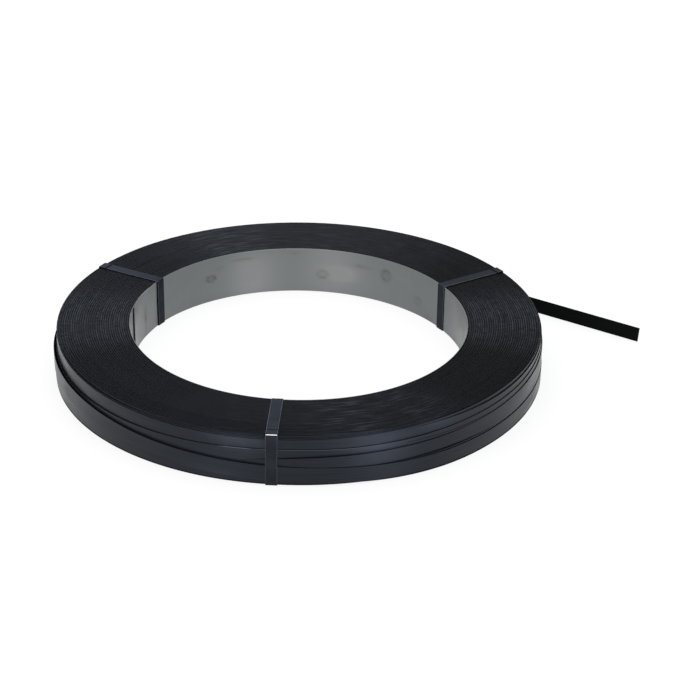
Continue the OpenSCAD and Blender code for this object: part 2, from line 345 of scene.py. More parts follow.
# The tree winds a spiral and sweeps the strap's section along it. Each turn stands at its
# own height, some dip as a group ends, and the last few have slipped.
winding_tree, given = new_shape_tree("wound_row", (
    ("Turns", "Int"), ("Points a turn", "Int"), ("Inner radius", "Float"),
    ("Outer radius", "Float"), ("Ring radius", "Float"), ("Off centre", "Vector"),
    ("Inner off centre", "Vector"), ("Narrow way", "Vector"), ("Out of round", "Float"),
    ("End direction", "Float"), ("Foot", "Float"), ("Strap width", "Float"),
    ("Strap thickness", "Float"), ("Wander", "Float"), ("Turns in a group", "Int"),
    ("Group dip", "Float"), ("Slipped turns", "Int"), ("Slip", "Float"), ("Dished turns", "Int"),
    ("Dish", "Float"), ("Slip way", "Vector"), ("Calm", "Float"), ("Seed", "Int"),
    ("Face", "Material"), ("Edge", "Material")))
tree = winding_tree
spiral = add(tree, "GeometryNodeCurveSpiral", inputs={
    "Resolution": given["Points a turn"], "Rotations": given["Turns"],
    "Start Radius": given["Inner radius"], "End Radius": given["Outer radius"],
    "Height": 0.0, "Reverse": True})
end_turn = add(tree, "ShaderNodeCombineXYZ", inputs={2: given["End direction"]})
turned = add(tree, "GeometryNodeTransform", inputs={
    "Geometry": spiral.outputs[0], "Rotation": end_turn.outputs[0]})

# Which turn a point is on, and the turn's own height: a wave along it that changes a little
# from turn to turn, and a random share for the whole turn.
index = add(tree, "GeometryNodeInputIndex").outputs[0]
turn = add(tree, "ShaderNodeMath", {"operation": "DIVIDE"},
           {0: index, 1: given["Points a turn"]}).outputs[0]
whole = add(tree, "ShaderNodeMath", {"operation": "FLOOR"}, {0: turn}).outputs[0]
here = add(tree, "GeometryNodeInputPosition").outputs[0]
spot = add(tree, "ShaderNodeVectorMath", {"operation": "MULTIPLY"}, {0: here, 1: (7.0, 7.0, 0.0)})
change = add(tree, "ShaderNodeMath", {"operation": "MULTIPLY"}, {0: turn, 1: 0.45})
change = add(tree, "ShaderNodeCombineXYZ", inputs={2: change.outputs[0]})
spot = add(tree, "ShaderNodeVectorMath", {"operation": "ADD"},
           {0: spot.outputs[0], 1: change.outputs[0]})
wave = add(tree, "ShaderNodeTexNoise", {"noise_dimensions": "4D"}, {
    "Vector": spot.outputs[0], "W": given["Seed"], "Scale": 1.0, "Detail": 2.0, "Roughness": 0.6})
wave = add(tree, "ShaderNodeMath", {"operation": "SUBTRACT"}, {0: wave.outputs[0], 1: 0.5})
wave = add(tree, "ShaderNodeMath", {"operation": "MULTIPLY"}, {0: wave.outputs[0], 1: 2.2})
own = add(tree, "FunctionNodeRandomValue", {"data_type": "FLOAT"},
          {"ID": whole, "Seed": given["Seed"]})
own = add(tree, "ShaderNodeMath", {"operation": "SUBTRACT"}, {0: own.outputs[1], 1: 0.5})
own = add(tree, "ShaderNodeMath", {"operation": "MULTIPLY"}, {0: own.outputs[0], 1: 0.5})
lift = add(tree, "ShaderNodeMath", {"operation": "ADD"}, {0: wave.outputs[0], 1: own.outputs[0]})
lift = add(tree, "ShaderNodeMath", {"operation": "MULTIPLY"},
           {0: lift.outputs[0], 1: given["Wander"]})

# The first turn of each group lies lower.
group_end = add(tree, "ShaderNodeMath", {"operation": "MODULO"},
                {0: whole, 1: given["Turns in a group"]})
group_end = add(tree, "ShaderNodeMath", {"operation": "LESS_THAN"},
                {0: group_end.outputs[0], 1: 0.5})
group_end = add(tree, "ShaderNodeMath", {"operation": "MULTIPLY"},
                {0: group_end.outputs[0], 1: given["Group dip"]})
lift = add(tree, "ShaderNodeMath", {"operation": "SUBTRACT"},
           {0: lift.outputs[0], 1: group_end.outputs[0]})

# At the front and the back the turns lie more level than at the sides.
way = add(tree, "ShaderNodeVectorMath", {"operation": "NORMALIZE"}, {0: here}).outputs[0]
split = add(tree, "ShaderNodeSeparateXYZ", inputs={0: way})
sideways = add(tree, "ShaderNodeMath", {"operation": "ABSOLUTE"}, {0: split.outputs[0]})
unrest = add(tree, "ShaderNodeMapRange", inputs={
    "Value": sideways.outputs[0], "From Min": 0.5, "From Max": 0.97,
    "To Min": given["Calm"], "To Max": 1.0})
lift = add(tree, "ShaderNodeMath", {"operation": "MULTIPLY"},
           {0: lift.outputs[0], 1: unrest.outputs[0]})

# The last turns' slip and dish, in full in the slip's direction and less to both sides
drops = []
for turns_label, drop_label in (("Slipped turns", "Slip"), ("Dished turns", "Dish")):
    begins = add(tree, "ShaderNodeMath", {"operation": "SUBTRACT"},
                 {0: given["Turns"], 1: given[turns_label]})
    drops.append(add(tree, "ShaderNodeMapRange", inputs={
        "Value": turn, "From Min": begins.outputs[0], "From Max": given["Turns"],
        "To Min": 0.0, "To Max": given[drop_label]}))
drop = add(tree, "ShaderNodeMath", {"operation": "ADD"},
           {0: drops[0].outputs[0], 1: drops[1].outputs[0]})
facing = add(tree, "ShaderNodeVectorMath", {"operation": "DOT_PRODUCT"},
             {0: way, 1: given["Slip way"]})
shown = add(tree, "ShaderNodeMath", {"operation": "ADD"},
            {0: facing.outputs["Value"], 1: SLIP_PAST})
shown = add(tree, "ShaderNodeMath", {"operation": "DIVIDE"},
            {0: shown.outputs[0], 1: 1 + SLIP_PAST})
shown = add(tree, "ShaderNodeMath", {"operation": "MAXIMUM"}, {0: shown.outputs[0], 1: 0.0})
shown = add(tree, "ShaderNodeMath", {"operation": "POWER"}, {0: shown.outputs[0], 1: 2.0})
drop = add(tree, "ShaderNodeMath", {"operation": "MULTIPLY"},
           {0: drop.outputs[0], 1: shown.outputs[0]})
lift = add(tree, "ShaderNodeMath", {"operation": "SUBTRACT"},
           {0: lift.outputs[0], 1: drop.outputs[0]})
half_width = add(tree, "ShaderNodeMath", {"operation": "MULTIPLY"},
                 {0: given["Strap width"], 1: 0.5})
middle = add(tree, "ShaderNodeMath", {"operation": "ADD"},
             {0: given["Foot"], 1: half_width.outputs[0]})
middle = add(tree, "ShaderNodeMath", {"operation": "ADD"},
             {0: middle.outputs[0], 1: lift.outputs[0]})
rise = add(tree, "ShaderNodeCombineXYZ", inputs={2: middle.outputs[0]})
counted = add(tree, "GeometryNodeStoreNamedAttribute", {"data_type": "FLOAT", "domain": "POINT"}, {
    "Geometry": turned.outputs[0], "Name": "turn", "Value": turn})
raised = add(tree, "GeometryNodeSetPosition", inputs={
    "Geometry": counted.outputs[0], "Offset": rise.outputs[0]})

# The drift off centre and out of round, from the inner turns to the outer ones
flat = add(tree, "ShaderNodeVectorMath", {"operation": "MULTIPLY"},
           {0: here, 1: (1, 1, 0)}).outputs[0]
from_axis = add(tree, "ShaderNodeVectorMath", {"operation": "LENGTH"}, {0: flat}).outputs["Value"]
inwards = add(tree, "ShaderNodeMapRange", inputs={
    "Value": from_axis, "From Min": given["Ring radius"], "From Max": given["Outer radius"],
    "To Min": 1.0, "To Max": 0.0}).outputs[0]
drift = add(tree, "ShaderNodeMix", {"data_type": "VECTOR"}, {
    "Factor": inwards, 4: given["Off centre"], 5: given["Inner off centre"]})
reach = add(tree, "ShaderNodeVectorMath", {"operation": "DOT_PRODUCT"},
            {0: flat, 1: given["Narrow way"]})
twice = add(tree, "ShaderNodeMath", {"operation": "MULTIPLY"}, {0: reach.outputs["Value"], 1: 2.0})
inset = add(tree, "ShaderNodeVectorMath", {"operation": "SCALE"}, {
    0: given["Narrow way"], "Scale": twice.outputs[0]})
oval = add(tree, "ShaderNodeVectorMath", {"operation": "SUBTRACT"}, {0: flat, 1: inset.outputs[0]})
share = add(tree, "ShaderNodeMath", {"operation": "MULTIPLY"},
            {0: inwards, 1: given["Out of round"]})
oval = add(tree, "ShaderNodeVectorMath", {"operation": "SCALE"},
           {0: oval.outputs[0], "Scale": share.outputs[0]})
shift = add(tree, "ShaderNodeVectorMath", {"operation": "ADD"},
            {0: drift.outputs[1], 1: oval.outputs[0]})
moved = add(tree, "GeometryNodeSetPosition", inputs={
    "Geometry": raised.outputs[0], "Offset": shift.outputs[0]})
upright = add(tree, "GeometryNodeSetCurveNormal", {"mode": "Z_UP"}, {"Curve": moved.outputs[0]})
section = add(tree, "GeometryNodeCurvePrimitiveQuadrilateral", inputs={
    "Width": given["Strap thickness"], "Height": given["Strap width"]})
swept = add(tree, "GeometryNodeCurveToMesh", inputs={
    "Curve": upright.outputs[0], "Profile Curve": section.outputs[0], "Fill Caps": True})
finish_strap(tree, swept.outputs[0], given["Face"], given["Face"], given["Edge"])


def grow(name, tree, values, base=None):
    """Runs a tree once with these values and keeps the result as a plain mesh."""
    carrier = bpy.data.objects.new(name + "_carrier",
                                   base or bpy.data.meshes.new(name + "_carrier"))
    scene.collection.objects.link(carrier)
    run = carrier.modifiers.new("shape", "NODES")
    run.node_group = tree
    for item in tree.interface.items_tree:
        if item.in_out == "INPUT" and item.name in values:
            run[item.identifier] = values[item.name]
    mesh = bpy.data.meshes.new_from_object(
        carrier.evaluated_get(bpy.context.evaluated_depsgraph_get()))
    carrier.modifiers.clear()
    bpy.data.objects.remove(carrier)
    mesh.name = name
    mesh.set_sharp_from_angle(angle=math.radians(35))
    piece = bpy.data.objects.new(name, mesh)
    scene.collection.objects.link(piece)
    return piece


def in_plan(way):
    return (math.cos(math.radians(way)), math.sin(math.radians(way)), 0.0)


# Patches of painted highlight: direction in degrees, height in millimetres, reach round in degrees,
# reach up in millimetres, strength. Those at height 61 lie on the top face.
painted_highlight_patches = (
    (-104, 50, 6, 8, 0.34), (-107, 12, 7, 12, 0.12), (-73, 44, 7, 13, 0.42), (-72, 10, 7, 9, 0.24),
    (-58, 52, 6, 7, 0.15), (165, 30, 12, 18, 0.2), (75, 20, 10, 20, 0.25), (-80, 61, 12, 4, 0.3),
    (-60, 61, 8, 4, 0.22), (112, 61, 14, 4, 0.5), (80, 61, 12, 4, 0.2), (55, 61, 12, 4, 0.15),
    (176, 61, 13, 4, 0.2), (4, 61, 12, 4, 0.35))


def lay_painted_highlight(piece):
    """Stores how strong the painted highlight is at each point of a piece."""
    at = np.empty(len(piece.data.vertices) * 3)
    piece.data.vertices.foreach_get("co", at)
    at = at.reshape(-1, 3)
    way = np.degrees(np.arctan2(at[:, 1], at[:, 0]))
    highlight_strength = np.zeros(len(at))
    for patch_way, z, round_deg, up_mm, strength in painted_highlight_patches:
        apart = (way - patch_way + 180) % 360 - 180
        highlight_strength += strength * np.exp(-(apart / round_deg) ** 2 - ((at[:, 2] / MM - z) / up_mm) ** 2)
    layer = piece.data.attributes.new("painted_highlight", "FLOAT", "POINT")
    layer.data.foreach_set("value", np.clip(highlight_strength, 0, 1).astype(np.float32))


# Name, level, turns, direction of its end (under the strap's last turn, or the right tie),
# height of its foot, wander, dip where a group of turns ends, slip, dish
rows = (("bottom_row", 0, TURNS, LEAVES_AT, 0.7, 0.2, 0.4, 0.0, 0.0),
        ("middle_row", 1, 10, UNDER_RIGHT_TIE, 20.4, 0.2, 0.4, 0.0, 0.0),
        ("top_row", 2, TURNS, UNDER_RIGHT_TIE, 40.5, 0.5, 1.3, SLIP, DISH))
for name, level, turns, ends_at, foot, wander, dip, slip, dish in rows:
    # A turn is drawn as thick as the pitch, with the wax that fills the gap to the next one.
    row = grow(name, winding_tree, {
        "Turns": turns, "Points a turn": 120,
        "Inner radius": WOUND_RO - turns * TURN_PITCH + STRAP_T / 2,
        "Outer radius": WOUND_RO - STRAP_T / 2, "Ring radius": WOUND_RI,
        "Off centre": (*OFF_CENTRE, 0.0), "Inner off centre": (*INNER_OFF_CENTRE, 0.0),
        "Narrow way": in_plan(NARROW_AT), "Out of round": OUT_OF_ROUND,
        "End direction": math.radians(ends_at), "Foot": foot * MM, "Strap width": STRAP_W,
        "Strap thickness": TURN_PITCH, "Wander": wander * MM, "Turns in a group": 3,
        "Group dip": dip * MM, "Slipped turns": 3, "Slip": slip * MM, "Dished turns": 30,
        "Dish": dish * MM, "Slip way": in_plan(SLIPS_AT), "Calm": 0.06, "Seed": 11 + level,
        "Face": strap_paint, "Edge": strap_edge})
    lay_painted_highlight(row)
    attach(row, "root")
    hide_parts("strap_coil")


# ---- The last turns and the free end ------------------------------------------------------
# The strap's last three turns come down from the top row to the bottom one, lean over
# their neighbours, stand off loosely at the left, and end in the free length at the right.

# The inside of the strap: painted thin and left dull, so that it looks nearly black. On the ties
# the same material paints the shadow line at each lap's sheared end.
strap_inside_and_end_shadow, tree = new_material("black_paint_dull_inside_of_strap_and_end_shadow")
place = add(tree, "ShaderNodeTexCoord").outputs["Object"]
# Scuffs along the strap, 1.4 mm wide and 50 mm long.
scuff_place = add(tree, "ShaderNodeMapping", inputs={"Vector": place, "Scale": (20, 20, 700)})
scuffs = add(tree, "ShaderNodeTexNoise",
             inputs={"Vector": scuff_place.outputs[0], "Scale": 1.0, "Detail": 3.0})
dull_mix = add(tree, "ShaderNodeMix", {"data_type": "RGBA"},
               {"Factor": scuffs.outputs[0], "A": linear("#0b0d0d"), "B": linear("#151717")})
dull_bump = add(tree, "ShaderNodeBump",
                inputs={"Strength": 0.3, "Distance": 0.05 * MM, "Height": scuffs.outputs[0]})
shader = add(tree, "ShaderNodeBsdfPrincipled", inputs={
    "Base Color": dull_mix.outputs["Result"], "Roughness": 0.7, "Specular IOR Level": 0.04,
    "Normal": dull_bump.outputs[0]})
add(tree, "ShaderNodeOutputMaterial", inputs={"Surface": shader.outputs[0]})

# The tree sweeps a strip's section, with its edges rounded, along the path that it gets.
laying_tree, given = new_shape_tree("laid_strip", (
    ("Path", "Geometry"), ("Strip width", "Float"), ("Strip thickness", "Float"),
    ("Edge rounding", "Float"), ("Cuts", "Int"), ("Face", "Material"), ("Inside", "Material"),
    ("Edge", "Material")))
tree = laying_tree
upright = add(tree, "GeometryNodeSetCurveNormal", {"mode": "Z_UP"}, {"Curve": given["Path"]})
section = add(tree, "GeometryNodeCurvePrimitiveQuadrilateral", inputs={
    "Width": given["Strip thickness"], "Height": given["Strip width"]})
rounded = add(tree, "GeometryNodeFilletCurve", {"mode": "POLY"}, {
    "Curve": section.outputs[0], "Radius": given["Edge rounding"], "Count": 1})
cut = add(tree, "GeometryNodeSubdivideCurve",
          inputs={"Curve": rounded.outputs[0], "Cuts": given["Cuts"]})
swept = add(tree, "GeometryNodeCurveToMesh", inputs={
    "Curve": upright.outputs[0], "Profile Curve": cut.outputs[0], "Fill Caps": True})
finish_strap(tree, swept.outputs[0], given["Face"], given["Inside"], given["Edge"])


def eased(table, angles, reach=5):
    """Reads a table of (angle, value) pairs with its corners eased over a few degrees."""
    keys, values = zip(*sorted(table))
    spread = np.linspace(-reach, reach, 11)
    return np.mean([np.interp(angles + s, keys, values) for s in spread], axis=0)


def poly_path(name, points):
    curve = bpy.data.curves.new(name, "CURVE")
    curve.dimensions = "3D"
    line = curve.splines.new("POLY")
    line.points.add(len(points) - 1)
    line.points.foreach_set("co", np.column_stack([points, np.ones(len(points))]).ravel())
    return curve


# Directions count on past 360 degrees, back from the free end. Millimetres: how far the
# strap's outside stands beyond the coil's radius, and the height of its upper edge.
stands_off = (
    (55, 0.0), (75, 0.8), (90, 1.5), (120, 2.7), (150, 4.0), (180, 4.3), (200, 3.9), (215, 3.2),
    (240, 1.7), (255, 0.4), (262, -0.05), (276, -0.1), (283, 0.6), (290, 1.4), (297, 2.0),
    (303, 2.2), (309, 1.6), (316, 0.7), (325, 0.2), (340, 0.0), (352, 0.4), (365, 0.7), (375, 0.6),
    (395, 0.0), (415, -0.9), (435, -0.1), (450, 0.6), (480, 1.8), (510, 3.1), (540, 3.3),
    (560, 2.6), (575, 1.6), (590, 0.1), (600, -1.5), (610, -2.3), (618, -2.4), (624, -1.4),
    (632, -0.6), (645, -0.4), (655, -0.5), (665, -0.5), (680, -0.4), (700, -0.1), (720, -0.1),
    (735, -0.7), (745, -1.4), (760, -2.0), (775, -2.2), (795, -1.2), (810, -0.5), (840, 0.4),
    (870, 1.3), (900, 1.2), (920, 0.7), (930, 0.35), (940, 0.0), (950, -0.45), (958, -1.0),
    (966, -1.7), (972, -2.0), (980, -2.25), (990, -2.6), (1000, -2.6), (1010, -2.3), (1020, -1.8),
    (1035, -1.3), (1050, -1.1), (1065, -1.0), (1080, -1.1), (1095, -1.6), (1110, -2.3),
    (1135, -2.8))
upper_edge = (
    (55, 19.1), (75, 19.6), (95, 22.2), (120, 28.3), (150, 34.9), (180, 37.4), (195, 37.2),
    (210, 36.0), (220, 34.0), (228, 31.8), (236, 29.4), (243, 27.8), (250, 26.4), (257, 24.9),
    (262, 23.7), (268, 22.6), (276, 21.2), (284, 19.8), (290, 18.9), (300, 18.6), (330, 18.5),
    (360, 18.9), (415, 19.1), (450, 19.6), (540, 21.2), (575, 23.3), (605, 25.0), (615, 27.0),
    (624, 31.5), (630, 33.6), (638, 34.4), (645, 34.8), (655, 35.6), (665, 36.6), (672, 38.0),
    (680, 39.7), (690, 41.6), (700, 43.0), (710, 44.5), (720, 45.6), (735, 45.2), (745, 43.2),
    (775, 40.1), (800, 39.3), (840, 38.9), (948, 38.4), (958, 38.9), (966, 39.9), (972, 41.0),
    (978, 42.2), (984, 42.8), (990, 42.9), (1000, 42.4), (1008, 42.6), (1016, 43.4), (1025, 44.9),
    (1035, 46.2), (1043, 47.2), (1050, 48.2), (1060, 50.0), (1070, 51.5), (1085, 52.5),
    (1110, 53.6), (1135, 54.6))
# Where the rolls of a machine have rubbed the upper edge bright: direction and strength
rubbed_edge = ((55, 0), (972, 0), (974, 1), (978, 1), (980, 0.1), (983, 0.45), (998, 0.5),
               (1008, 0.3), (1014, 0), (1135, 0))
STARTS_AT = 1135
EDGE_ROUNDING = 0.15 * MM
FREE_LENGTH = 310 * MM
FREE_STEPS = 25
CUT_LEAN = math.tan(math.radians(4))

angles = np.arange(STARTS_AT, LEAVES_AT - 0.1, -1.0)
radius = COIL_R + eased(stands_off, angles) * MM - STRAP_T / 2
height = eased(upper_edge, angles) * MM - STRAP_W / 2
path = np.column_stack([
    radius * np.cos(np.radians(angles)), radius * np.sin(np.radians(angles)), height])
leaving = math.radians(LEAVES_AT)
run_on = np.array([math.sin(leaving), -math.cos(leaving), 0.0])
free_part = np.linspace(0, 1, FREE_STEPS + 1)[1:, None] * run_on * FREE_LENGTH
path = np.vstack([path, path[-1] + free_part])
last_turns = grow("last_turns_and_free_end", laying_tree, {
    "Strip width": STRAP_W, "Strip thickness": STRAP_T, "Edge rounding": EDGE_ROUNDING, "Cuts": 0,
    "Face": strap_paint, "Inside": strap_inside_and_end_shadow, "Edge": strap_edge},
    poly_path("last_turns_path", path))
# The free end was cut by hand, a little out of square.
for vertex in last_turns.data.vertices:
    if (vertex.co - Vector(path[-1])).length < STRAP_W * 0.6:
        vertex.co -= Vector(run_on) * (path[-1][2] + STRAP_W / 2 - vertex.co.z) * CUT_LEAN
# How far up its width each point of the strap lies, and how much the edge is rubbed there
ring_size = len(last_turns.data.vertices) // len(path)
ring = np.minimum(np.arange(len(last_turns.data.vertices)) // ring_size, len(path) - 1)
tops = np.array([vertex.co.z for vertex in last_turns.data.vertices]) - path[ring, 2]
here = np.append(angles, np.full(FREE_STEPS, float(LEAVES_AT)))[ring]
for label, values in (("across", tops / STRAP_W + 0.5),
                      ("rubbed", np.interp(here, *zip(*rubbed_edge)))):
    layer = last_turns.data.attributes.new(label, "FLOAT", "POINT")
    layer.data.foreach_set("value", values.astype(np.float32))
lay_painted_highlight(last_turns)
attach(last_turns, "root")
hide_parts("strap_coil")

# Shorter stretches of other turns show beside them: one of the bottom row, where the last
# one has moved up and again at the right, and one each of the other rows at the right.
# Direction, millimetres beyond the coil's radius, height of the upper edge.
seen_turns = (
    ("turn_under_the_last", (
        (35, -2.8, 19.0), (55, -1.8, 19.0), (75, -1.0, 19.0), (90, -0.3, 19.0), (120, 0.9, 19.0),
        (150, 2.2, 19.0), (180, 2.7, 18.7), (200, 2.5, 18.6), (215, 1.8, 18.6), (240, 0.2, 18.7),
        (262, -1.1, 18.9), (285, -0.5, 19.2), (290, 0.4, 19.5), (297, 1.0, 20.0),
        (303, 1.25, 20.4), (309, 0.65, 20.7), (316, -0.25, 20.9), (325, -0.7, 21.0),
        (340, -0.9, 21.6), (352, -0.5, 22.3), (365, -0.25, 22.5), (375, -0.35, 22.0),
        (395, -1.0, 20.2), (410, -1.8, 19.5))),
    ("turn_of_the_middle_row", (
        (293, -1.9, 39.4), (305, -1.2, 39.4), (312, -0.8, 39.4), (320, -0.45, 39.4),
        (340, -0.15, 39.6), (360, -0.15, 39.9), (375, -0.75, 39.7), (395, -1.9, 39.5),
        (420, -3.0, 39.4))),
    ("turn_of_the_top_row", (
        (286, -4.8, 54.4), (292, -3.7, 54.8), (300, -2.9, 55.2), (308, -2.3, 54.9),
        (320, -2.1, 54.6), (328, -2.0, 55.4), (340, -1.9, 56.4), (352, -1.7, 57.4),
        (365, -1.4, 58.2), (378, -1.4, 58.8), (392, -2.0, 59.2))))
for name, table in seen_turns:
    angles = np.arange(table[-1][0], table[0][0] - 0.1, -1.5)
    radius = COIL_R + eased([row[:2] for row in table], angles) * MM - STRAP_T / 2
    height = eased([row[::2] for row in table], angles) * MM - STRAP_W / 2
    path = np.column_stack([
        radius * np.cos(np.radians(angles)), radius * np.sin(np.radians(angles)), height])
    seen_turn = grow(name, laying_tree, {
        "Strip width": STRAP_W, "Strip thickness": STRAP_T, "Edge rounding": EDGE_ROUNDING,
        "Cuts": 0, "Face": strap_paint, "Inside": strap_inside_and_end_shadow, "Edge": strap_edge},
        poly_path(name + "_path", path))
    lay_painted_highlight(seen_turn)
    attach(seen_turn, "root")
    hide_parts("strap_coil")


# ---- The core ring ------------------------------------------------------------------------
# A band of bare cold-rolled sheet as wide as the coil, rolled into a ring that the strap
# is wound on. Its ends lap at the left, where the inner one springs off a little.

BORE_R = 203 * MM
SHEET_T = 0.8 * MM
# Millimetres along the bore for one degree
MM_A_DEGREE = 3.54

# Bare steel sheet, oiled: greyish metal with rolling lines round it, water and oil stains, a broad
# darker stretch of painted shade, and broad lighter stretches of painted sheen. The places of the
# stains, the shade and the sheen are in the mesh.
bare_sheet, tree = new_material("bare_cold_rolled_sheet_oiled")
place = add(tree, "ShaderNodeTexCoord").outputs["Object"]
# Rolling lines 1.1 mm wide and 100 mm long, and clouds of oil 30 mm to 40 mm across.
line_place = add(tree, "ShaderNodeMapping", inputs={"Vector": place, "Scale": (10, 10, 900)})
lines = add(tree, "ShaderNodeTexNoise",
            inputs={"Vector": line_place.outputs[0], "Scale": 1.0, "Detail": 4.0, "Roughness": 0.6})
cloud_place = add(tree, "ShaderNodeMapping", inputs={"Vector": place, "Scale": (26, 26, 34)})
clouds = add(tree, "ShaderNodeTexNoise", inputs={
    "Vector": cloud_place.outputs[0], "Scale": 1.0, "Detail": 5.0, "Roughness": 0.6})
stain_and_shade = add(tree, "ShaderNodeAttribute", {"attribute_name": "stain_and_shade"}).outputs["Fac"]
painted_sheen = add(tree, "ShaderNodeAttribute", {"attribute_name": "painted_sheen"}).outputs["Fac"]
cloud_range = add(tree, "ShaderNodeMapRange",
                  inputs={"Value": clouds.outputs[0], "From Min": 0.3, "From Max": 0.7})
metal = add(tree, "ShaderNodeMix", {"data_type": "RGBA"},
            {"Factor": cloud_range.outputs[0], "A": linear("#6a6e6f"), "B": linear("#747778")})
# Painted sheen: broad lighter stretches of the bore's wall.
metal = add(tree, "ShaderNodeMix", {"data_type": "RGBA"},
            {"Factor": painted_sheen, "A": metal.outputs["Result"], "B": linear("#8c8e8e")})
broken = add(tree, "ShaderNodeMapRange", inputs={
    "Value": clouds.outputs[0], "From Min": 0.38, "From Max": 0.62, "To Min": 0.25, "To Max": 1.5})
stain_and_shade = add(tree, "ShaderNodeMath", {"operation": "MULTIPLY", "use_clamp": True},
            {0: stain_and_shade, 1: broken.outputs[0]})
metal = add(tree, "ShaderNodeMix", {"data_type": "RGBA"},
            {"Factor": stain_and_shade.outputs[0], "A": metal.outputs["Result"], "B": linear("#56564b")})
oil_range = add(tree, "ShaderNodeMapRange", inputs={
    "Value": clouds.outputs[0], "From Min": 0.3, "From Max": 0.7, "To Min": 0.28, "To Max": 0.42})
sheet_bump = add(tree, "ShaderNodeBump",
                 inputs={"Strength": 0.3, "Distance": 0.05 * MM, "Height": lines.outputs[0]})
shader = add(tree, "ShaderNodeBsdfPrincipled", inputs={
    "Base Color": metal.outputs["Result"], "Metallic": 1.0, "Roughness": oil_range.outputs[0],
    "Normal": sheet_bump.outputs[0]})
add(tree, "ShaderNodeOutputMaterial", inputs={"Surface": shader.outputs[0]})


def pressed_out_of_round(x, y):
    """Where a point of the innermost turn or the ring comes to lie, in the rows' own way."""
    across_x, across_y, _ = in_plan(NARROW_AT)
    reach = x * across_x + y * across_y
    return (x + OUT_OF_ROUND * (x - 2 * reach * across_x) + INNER_OFF_CENTRE[0],
            y + OUT_OF_ROUND * (y - 2 * reach * across_y) + INNER_OFF_CENTRE[1])


# Directions of the ring's two ends, and how far its sheet stands off the bore's radius near
# the inner one, by direction
RING_ENDS = (173, -204)
sheet_off = ((173, -1.7), (169, -1.2), (164, -0.95), (160, -0.85), (156, -0.82), (151, 0.0),
             (-205, 0.0))
angles = np.arange(RING_ENDS[0], RING_ENDS[1] - 0.1, -1.0)
radius = BORE_R + SHEET_T / 2 + eased(sheet_off, angles, 2) * MM
x, y = pressed_out_of_round(radius * np.cos(np.radians(angles)),
                            radius * np.sin(np.radians(angles)))
path = np.column_stack([x, y, np.full(len(angles), COIL_H / 2)])
core_ring = grow("rolled_core_ring", laying_tree, {
    "Strip width": COIL_H, "Strip thickness": SHEET_T, "Edge rounding": 0.2 * MM, "Cuts": 23,
    "Face": bare_sheet, "Inside": bare_sheet, "Edge": bare_sheet},
    poly_path("core_ring_path", path))
# Stains: direction in degrees, height, reach round and reach up in millimetres, strength, and
# whether the drop dried to a ring. Painted sheen, lighter stretches of colour: direction, height,
# reach round in degrees and up, strength.
stains_and_painted_shade = (
    # The broad darker patch at 12 degrees is painted shade on the bore's right-hand wall; the
    # others are stains.
    (160, 22, 3, 15, 1.0, 0), (12, 30, 55, 45, 0.22, 0), (124, 32, 6, 4, 0.45, 1),
    (112, 50, 16, 2, 0.4, 0), (120, 44, 9, 3, 0.25, 0), (82, 25, 6, 5, 0.3, 1),
    (67, 43, 14, 2.5, 0.3, 0), (57, 38, 6, 7, 0.65, 1), (42, 19, 5, 5, 0.35, 1),
    (36, 2, 9, 5, 0.6, 0), (17, 3, 5, 8, 0.6, 0), (24, 34, 7, 14, 0.25, 0), (92, 53, 9, 2, 0.3, 0))
painted_sheen_stretches = ((108, 24, 9, 34, 0.7), (75, 28, 6, 10, 0.6), (78, 34, 10, 40, 0.45),
          (83, 30, 42, 60, 0.35))
at = np.empty(len(core_ring.data.vertices) * 3)
core_ring.data.vertices.foreach_get("co", at)
at = at.reshape(-1, 3)
way = np.degrees(np.arctan2(at[:, 1], at[:, 0]))
stain_and_shade_value = np.zeros(len(at))
for az, z, round_mm, up_mm, strength, dried in stains_and_painted_shade:
    apart = np.hypot((way - az) * MM_A_DEGREE / round_mm, (at[:, 2] / MM - z) / up_mm)
    # A dried drop leaves a ring round a fainter middle.
    spot = np.exp(-apart ** 2)
    if dried:
        spot = 0.45 * spot + np.exp(-((apart - 1) / 0.3) ** 2)
    stain_and_shade_value = np.maximum(stain_and_shade_value, strength * spot)
painted_sheen_value = sum(strength * np.exp(-((way - az) / reach) ** 2 - ((at[:, 2] / MM - z) / up_mm) ** 4)
                  for az, z, reach, up_mm, strength in painted_sheen_stretches)
for label, values in (("stain_and_shade", stain_and_shade_value), ("painted_sheen", np.clip(painted_sheen_value, 0, 1))):
    layer = core_ring.data.attributes.new(label, "FLOAT", "POINT")
    layer.data.foreach_set("value", values.astype(np.float32))
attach(core_ring, "root")
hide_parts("core_ring")


# ---- The ties -----------------------------------------------------------------------------
# Three short 13 mm straps of blued steel go round the coil's section, drawn tight and
# bent sharply over its corners. Each one's ends lap on the outside corner.

TIE_W, TIE_T, TIE_CLEAR = 13 * MM, 0.5 * MM, 0.2 * MM
BEND_R = 0.9 * MM
TIE_EDGE = 0.4 * MM
# Where more than a fifth of the slip shows, a tie's top rises by a step from the slipped
# turns, 2.6 mm wide, to the dished ones, and slopes up over them as far as 24 mm in.
SLOPED_FROM = 0.2
SLIP_STEP = SLIP + 0.2
SLIPPED_IN, SLOPE_IN = 2.6 * MM, 24 * MM
END_SHADOW_LENGTH = 1.2 * MM
# A tie leans on every turn that stands within 1.2 mm of the outermost one.
LEANED_ON = 1.2
# A lap takes its bends from the outline above 20 mm, up to 1.5 mm short of its end.
LAP_FROM = 20 * MM
LAP_SPARE = 1.5

# Blued strap: heat-treated steel with a cloudy blue-black oxide skin, semi-gloss.
blued, tree = new_material("blued_steel_oxide_skin")
place = add(tree, "ShaderNodeTexCoord").outputs["Object"]
